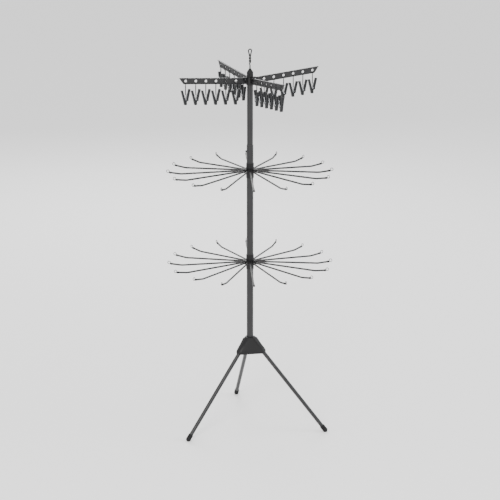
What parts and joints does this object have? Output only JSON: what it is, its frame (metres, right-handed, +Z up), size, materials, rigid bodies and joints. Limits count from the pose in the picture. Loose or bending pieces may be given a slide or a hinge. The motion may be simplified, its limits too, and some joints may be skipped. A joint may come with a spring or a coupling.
{
  "type": "clothes drying rack",
  "caption": "Tripod clothes drying rack: two tiers of fold-up rods round a pole, four perforated arms with hanging clips, and a hanging loop.",
  "frame": {"origin": "on the floor, on the pole's axis", "axes": "+Z up along the pole; the four top arms lie along X and Y"},
  "size_m": [0.6828, 0.6828, 1.599],
  "materials": {
    "black_plastic": "fine moulded texture",
    "grey_plastic": "satin moulding",
    "clip_plastic": "satin moulding",
    "grey_paint": "satin powder coat",
    "rod_paint": "satin powder coat",
    "hook_wire": "plastic-dipped wire",
    "zinc_pin": "zinc plated",
    "black_rubber": "matte"
  },
  "bodies": {
    "frame": {"tripod_hub": "black_plastic", "leg_pivot_pins": "zinc_pin", "pole_lower": "grey_paint", "pole_middle": "grey_paint", "pole_upper": "grey_paint", "lower_tier_hub": "black_plastic", "upper_tier_hub": "black_plastic", "tier_covers": "black_plastic", "hinge_rings": "zinc_pin", "top_hub": "black_plastic", "arm_pins": "zinc_pin", "top_cap": "black_plastic"},
    "leg_1": {"leg_1": "grey_paint", "foot_1": "black_rubber"},
    "leg_2": {"leg_2": "grey_paint", "foot_2": "black_rubber"},
    "leg_3": {"leg_3": "grey_paint", "foot_3": "black_rubber"},
    "lower_rod_01": {"lower_rod_01": "rod_paint"},
    "lower_rod_02": {"lower_rod_02": "rod_paint"},
    "lower_rod_03": {"lower_rod_03": "rod_paint"},
    "lower_rod_04": {"lower_rod_04": "rod_paint"},
    "lower_rod_05": {"lower_rod_05": "rod_paint"},
    "lower_rod_06": {"lower_rod_06": "rod_paint"},
    "lower_rod_07": {"lower_rod_07": "rod_paint"},
    "lower_rod_08": {"lower_rod_08": "rod_paint"},
    "lower_rod_09": {"lower_rod_09": "rod_paint"},
    "lower_rod_10": {"lower_rod_10": "rod_paint"},
    "lower_rod_11": {"lower_rod_11": "rod_paint"},
    "lower_rod_12": {"lower_rod_12": "rod_paint"},
    "lower_rod_13": {"lower_rod_13": "rod_paint"},
    "lower_rod_14": {"lower_rod_14": "rod_paint"},
    "lower_rod_15": {"lower_rod_15": "rod_paint"},
    "lower_rod_16": {"lower_rod_16": "rod_paint"},
    "upper_rod_01": {"upper_rod_01": "rod_paint"},
    "upper_rod_02": {"upper_rod_02": "rod_paint"},
    "upper_rod_03": {"upper_rod_03": "rod_paint"},
    "upper_rod_04": {"upper_rod_04": "rod_paint"},
    "upper_rod_05": {"upper_rod_05": "rod_paint"},
    "upper_rod_06": {"upper_rod_06": "rod_paint"},
    "upper_rod_07": {"upper_rod_07": "rod_paint"},
    "upper_rod_08": {"upper_rod_08": "rod_paint"},
    "upper_rod_09": {"upper_rod_09": "rod_paint"},
    "upper_rod_10": {"upper_rod_10": "rod_paint"},
    "upper_rod_11": {"upper_rod_11": "rod_paint"},
    "upper_rod_12": {"upper_rod_12": "rod_paint"},
    "upper_rod_13": {"upper_rod_13": "rod_paint"},
    "upper_rod_14": {"upper_rod_14": "rod_paint"},
    "upper_rod_15": {"upper_rod_15": "rod_paint"},
    "upper_rod_16": {"upper_rod_16": "rod_paint"},
    "arm_1": {"arm_1": "grey_plastic"},
    "clips_1": {"clips_1": "clip_plastic"},
    "arm_2": {"arm_2": "grey_plastic"},
    "clips_2": {"clips_2": "clip_plastic"},
    "arm_3": {"arm_3": "grey_plastic"},
    "clips_3": {"clips_3": "clip_plastic"},
    "arm_4": {"arm_4": "grey_plastic"},
    "clips_4": {"clips_4": "clip_plastic"},
    "hook": {"hanging_hook": "hook_wire"},
    "button": {"pole_button": "grey_plastic"}
  },
  "joints": [
    {"name": "leg_1_fold", "type": "hinge", "parent": "frame", "child": "leg_1", "pos_m": [0.00828, 0.03091, 0.352], "axis": [-0.9659, 0.2588, 0], "range_deg": [0, 41.3]},
    {"name": "leg_2_fold", "type": "hinge", "parent": "frame", "child": "leg_2", "pos_m": [-0.03091, -0.00828, 0.352], "axis": [0.2588, -0.9659, 0], "range_deg": [0, 41.3]},
    {"name": "leg_3_fold", "type": "hinge", "parent": "frame", "child": "leg_3", "pos_m": [0.02263, -0.02263, 0.352], "axis": [0.7071, 0.7071, 0], "range_deg": [0, 41.3]},
    {"name": "lower_rod_01_fold", "type": "hinge", "parent": "frame", "child": "lower_rod_01", "pos_m": [0.022, 0, 0.7105], "axis": [0, -1, 0], "range_deg": [0, 88]},
    {"name": "lower_rod_02_fold", "type": "hinge", "parent": "frame", "child": "lower_rod_02", "pos_m": [0.02032, 0.00842, 0.7105], "axis": [0.3827, -0.9239, 0], "range_deg": [0, 88]},
    {"name": "lower_rod_03_fold", "type": "hinge", "parent": "frame", "child": "lower_rod_03", "pos_m": [0.01556, 0.01556, 0.7105], "axis": [0.7071, -0.7071, 0], "range_deg": [0, 88]},
    {"name": "lower_rod_04_fold", "type": "hinge", "parent": "frame", "child": "lower_rod_04", "pos_m": [0.00842, 0.02032, 0.7105], "axis": [0.9239, -0.3827, 0], "range_deg": [0, 88]},
    {"name": "lower_rod_05_fold", "type": "hinge", "parent": "frame", "child": "lower_rod_05", "pos_m": [0, 0.022, 0.7105], "axis": [1, 0, 0], "range_deg": [0, 88]},
    {"name": "lower_rod_06_fold", "type": "hinge", "parent": "frame", "child": "lower_rod_06", "pos_m": [-0.00842, 0.02032, 0.7105], "axis": [0.9239, 0.3827, 0], "range_deg": [0, 88]},
    {"name": "lower_rod_07_fold", "type": "hinge", "parent": "frame", "child": "lower_rod_07", "pos_m": [-0.01556, 0.01556, 0.7105], "axis": [0.7071, 0.7071, 0], "range_deg": [0, 88]},
    {"name": "lower_rod_08_fold", "type": "hinge", "parent": "frame", "child": "lower_rod_08", "pos_m": [-0.02032, 0.00842, 0.7105], "axis": [0.3827, 0.9239, 0], "range_deg": [0, 88]},
    {"name": "lower_rod_09_fold", "type": "hinge", "parent": "frame", "child": "lower_rod_09", "pos_m": [-0.022, 0, 0.7105], "axis": [0, 1, 0], "range_deg": [0, 88]},
    {"name": "lower_rod_10_fold", "type": "hinge", "parent": "frame", "child": "lower_rod_10", "pos_m": [-0.02032, -0.00842, 0.7105], "axis": [-0.3827, 0.9239, 0], "range_deg": [0, 88]},
    {"name": "lower_rod_11_fold", "type": "hinge", "parent": "frame", "child": "lower_rod_11", "pos_m": [-0.01556, -0.01556, 0.7105], "axis": [-0.7071, 0.7071, 0], "range_deg": [0, 88]},
    {"name": "lower_rod_12_fold", "type": "hinge", "parent": "frame", "child": "lower_rod_12", "pos_m": [-0.00842, -0.02032, 0.7105], "axis": [-0.9239, 0.3827, 0], "range_deg": [0, 88]},
    {"name": "lower_rod_13_fold", "type": "hinge", "parent": "frame", "child": "lower_rod_13", "pos_m": [0, -0.022, 0.7105], "axis": [-1, 0, 0], "range_deg": [0, 88]},
    {"name": "lower_rod_14_fold", "type": "hinge", "parent": "frame", "child": "lower_rod_14", "pos_m": [0.00842, -0.02032, 0.7105], "axis": [-0.9239, -0.3827, 0], "range_deg": [0, 88]},
    {"name": "lower_rod_15_fold", "type": "hinge", "parent": "frame", "child": "lower_rod_15", "pos_m": [0.01556, -0.01556, 0.7105], "axis": [-0.7071, -0.7071, 0], "range_deg": [0, 88]},
    {"name": "lower_rod_16_fold", "type": "hinge", "parent": "frame", "child": "lower_rod_16", "pos_m": [0.02032, -0.00842, 0.7105], "axis": [-0.3827, -0.9239, 0], "range_deg": [0, 88]},
    {"name": "upper_rod_01_fold", "type": "hinge", "parent": "frame", "child": "upper_rod_01", "pos_m": [0.022, 0, 1.098], "axis": [0, -1, 0], "range_deg": [0, 60]},
    {"name": "upper_rod_02_fold", "type": "hinge", "parent": "frame", "child": "upper_rod_02", "pos_m": [0.02032, 0.00842, 1.098], "axis": [0.3827, -0.9239, 0], "range_deg": [0, 88]},
    {"name": "upper_rod_03_fold", "type": "hinge", "parent": "frame", "child": "upper_rod_03", "pos_m": [0.01556, 0.01556, 1.098], "axis": [0.7071, -0.7071, 0], "range_deg": [0, 88]},
    {"name": "upper_rod_04_fold", "type": "hinge", "parent": "frame", "child": "upper_rod_04", "pos_m": [0.00842, 0.02032, 1.098], "axis": [0.9239, -0.3827, 0], "range_deg": [0, 88]},
    {"name": "upper_rod_05_fold", "type": "hinge", "parent": "frame", "child": "upper_rod_05", "pos_m": [0, 0.022, 1.098], "axis": [1, 0, 0], "range_deg": [0, 60]},
    {"name": "upper_rod_06_fold", "type": "hinge", "parent": "frame", "child": "upper_rod_06", "pos_m": [-0.00842, 0.02032, 1.098], "axis": [0.9239, 0.3827, 0], "range_deg": [0, 88]},
    {"name": "upper_rod_07_fold", "type": "hinge", "parent": "frame", "child": "upper_rod_07", "pos_m": [-0.01556, 0.01556, 1.098], "axis": [0.7071, 0.7071, 0], "range_deg": [0, 88]},
    {"name": "upper_rod_08_fold", "type": "hinge", "parent": "frame", "child": "upper_rod_08", "pos_m": [-0.02032, 0.00842, 1.098], "axis": [0.3827, 0.9239, 0], "range_deg": [0, 88]},
    {"name": "upper_rod_09_fold", "type": "hinge", "parent": "frame", "child": "upper_rod_09", "pos_m": [-0.022, 0, 1.098], "axis": [0, 1, 0], "range_deg": [0, 60]},
    {"name": "upper_rod_10_fold", "type": "hinge", "parent": "frame", "child": "upper_rod_10", "pos_m": [-0.02032, -0.00842, 1.098], "axis": [-0.3827, 0.9239, 0], "range_deg": [0, 88]},
    {"name": "upper_rod_11_fold", "type": "hinge", "parent": "frame", "child": "upper_rod_11", "pos_m": [-0.01556, -0.01556, 1.098], "axis": [-0.7071, 0.7071, 0], "range_deg": [0, 88]},
    {"name": "upper_rod_12_fold", "type": "hinge", "parent": "frame", "child": "upper_rod_12", "pos_m": [-0.00842, -0.02032, 1.098], "axis": [-0.9239, 0.3827, 0], "range_deg": [0, 88]},
    {"name": "upper_rod_13_fold", "type": "hinge", "parent": "frame", "child": "upper_rod_13", "pos_m": [0, -0.022, 1.098], "axis": [-1, 0, 0], "range_deg": [0, 60]},
    {"name": "upper_rod_14_fold", "type": "hinge", "parent": "frame", "child": "upper_rod_14", "pos_m": [0.00842, -0.02032, 1.098], "axis": [-0.9239, -0.3827, 0], "range_deg": [0, 88]},
    {"name": "upper_rod_15_fold", "type": "hinge", "parent": "frame", "child": "upper_rod_15", "pos_m": [0.01556, -0.01556, 1.098], "axis": [-0.7071, -0.7071, 0], "range_deg": [0, 88]},
    {"name": "upper_rod_16_fold", "type": "hinge", "parent": "frame", "child": "upper_rod_16", "pos_m": [0.02032, -0.00842, 1.098], "axis": [-0.3827, -0.9239, 0], "range_deg": [0, 88]},
    {"name": "arm_1_fold", "type": "hinge", "parent": "frame", "child": "arm_1", "pos_m": [0.022, 0, 1.476], "axis": [0, -1, 0], "range_deg": [0, 85]},
    {"name": "clips_1_swing", "type": "hinge", "parent": "arm_1", "child": "clips_1", "pos_m": [0.02328, 0, 1.4598], "axis": [0.9969, 0, 0.0785], "range_deg": [-75, 75]},
    {"name": "arm_2_fold", "type": "hinge", "parent": "frame", "child": "arm_2", "pos_m": [0, 0.022, 1.476], "axis": [1, 0, 0], "range_deg": [0, 85]},
    {"name": "clips_2_swing", "type": "hinge", "parent": "arm_2", "child": "clips_2", "pos_m": [0, 0.02328, 1.4598], "axis": [0, 0.9969, 0.0785], "range_deg": [-75, 75]},
    {"name": "arm_3_fold", "type": "hinge", "parent": "frame", "child": "arm_3", "pos_m": [-0.022, 0, 1.476], "axis": [0, 1, 0], "range_deg": [0, 85]},
    {"name": "clips_3_swing", "type": "hinge", "parent": "arm_3", "child": "clips_3", "pos_m": [-0.02328, 0, 1.4598], "axis": [-0.9969, 0, 0.0785], "range_deg": [-75, 75]},
    {"name": "arm_4_fold", "type": "hinge", "parent": "frame", "child": "arm_4", "pos_m": [0, -0.022, 1.476], "axis": [-1, 0, 0], "range_deg": [0, 85]},
    {"name": "clips_4_swing", "type": "hinge", "parent": "arm_4", "child": "clips_4", "pos_m": [0, -0.02328, 1.4598], "axis": [0, -0.9969, 0.0785], "range_deg": [-75, 75]},
    {"name": "hook_swivel", "type": "hinge", "parent": "frame", "child": "hook", "pos_m": [0, 0, 1.503], "axis": [0, 0, 1], "continuous": true},
    {"name": "button_press", "type": "slide", "parent": "frame", "child": "button", "axis": [0.9239, -0.3827, 0], "range_m": [0, 0.004], "stiffness_N_per_m": 500, "springref_m": -0.003}
  ]
}
